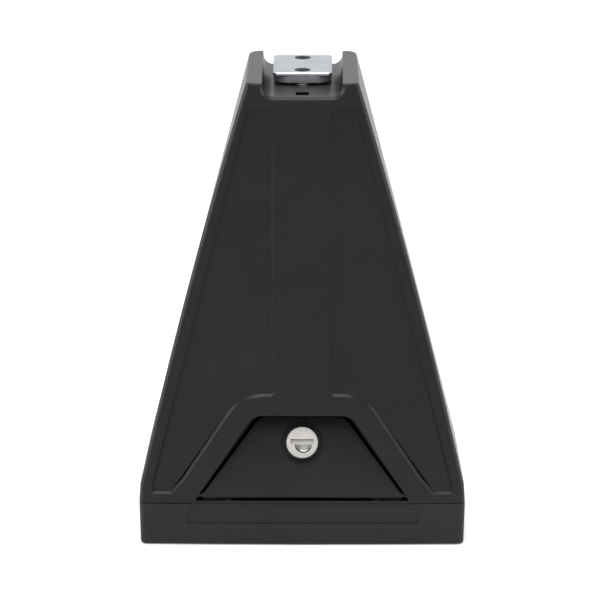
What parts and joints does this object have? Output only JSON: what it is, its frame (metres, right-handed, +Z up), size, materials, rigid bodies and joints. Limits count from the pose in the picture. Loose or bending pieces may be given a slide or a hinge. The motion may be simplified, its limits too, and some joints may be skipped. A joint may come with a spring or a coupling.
{
  "type": "roof bar foot",
  "caption": "Tall moulded roof bar foot: hollow black tower with a cradle and clamp plate for the load bar on top and a lockable door over its roof fixings.",
  "frame": {"origin": "middle of the base, on the plane of the roof", "axes": "+X across the tower, +Y from the door side to the rear, +Z up"},
  "size_m": [0.148, 0.094, 0.2122],
  "materials": {
    "moulded_black": "fine satin grain",
    "door_black": "fine matte grain",
    "lock_black": "matte",
    "black_rubber": "matte, slightly dusty",
    "lock_silver": "satin nickel",
    "clamp_bright": "bright, lightly brushed",
    "clamp_dull": "dull, rough zinc",
    "zinc_steel": "zinc plated",
    "coated_steel": "black powder coat"
  },
  "bodies": {
    "leg": {"tower_shell": "moulded_black", "base_pad": "black_rubber", "base_plate": "zinc_steel", "portal_frame": "coated_steel", "hinge_rod": "zinc_steel", "bolt_washer_front": "zinc_steel", "bolt_washer_rear": "zinc_steel", "shell_screw_front_left": "zinc_steel", "shell_screw_front_right": "zinc_steel", "shell_screw_rear_left": "zinc_steel", "shell_screw_rear_right": "zinc_steel", "foot_screw_front_left": "zinc_steel", "foot_screw_front_right": "zinc_steel", "foot_screw_rear_left": "zinc_steel", "foot_screw_rear_right": "zinc_steel", "foot_nut_front_left": "zinc_steel", "foot_nut_front_right": "zinc_steel", "foot_nut_rear_left": "zinc_steel", "foot_nut_rear_right": "zinc_steel"},
    "door": {"door": "door_black", "lock_housing": "lock_black"},
    "lock": {"lock_core": "lock_silver", "lock_cam": "zinc_steel", "cam_nut": "zinc_steel"},
    "clamp": {"clamp_strip": "clamp_bright", "clamp_block": "clamp_dull"},
    "bolt_front": {"clamp_bolt_front": "zinc_steel", "retaining_washer_front": "zinc_steel"},
    "bolt_rear": {"clamp_bolt_rear": "zinc_steel", "retaining_washer_rear": "zinc_steel"}
  },
  "joints": [
    {"name": "door_hinge", "type": "hinge", "parent": "leg", "child": "door", "pos_m": [0, -0.0448, 0.023], "axis": [1, 0, 0], "range_deg": [0, 105]},
    {"name": "key_turn", "type": "hinge", "parent": "door", "child": "lock", "pos_m": [0, -0.03483, 0.04439], "axis": [0, -0.9063, 0.4226], "range_deg": [0, 90]},
    {"name": "clamp_rise", "type": "slide", "parent": "leg", "child": "clamp", "axis": [0, 0, 1], "range_m": [0, 0.0025]},
    {"name": "bolt_front_spin", "type": "hinge", "parent": "leg", "child": "bolt_front", "pos_m": [0, -0.006, 0.2], "axis": [0, 0, -1], "range_deg": [0, 720]},
    {"name": "bolt_rear_spin", "type": "hinge", "parent": "leg", "child": "bolt_rear", "pos_m": [0, 0.018, 0.2], "axis": [0, 0, -1], "range_deg": [0, 720]}
  ],
  "couplings": [
    {"joint": "bolt_front_spin", "follows": "clamp_rise", "rad_per_m": 5026.5},
    {"joint": "bolt_rear_spin", "follows": "clamp_rise", "rad_per_m": 5026.5}
  ]
}
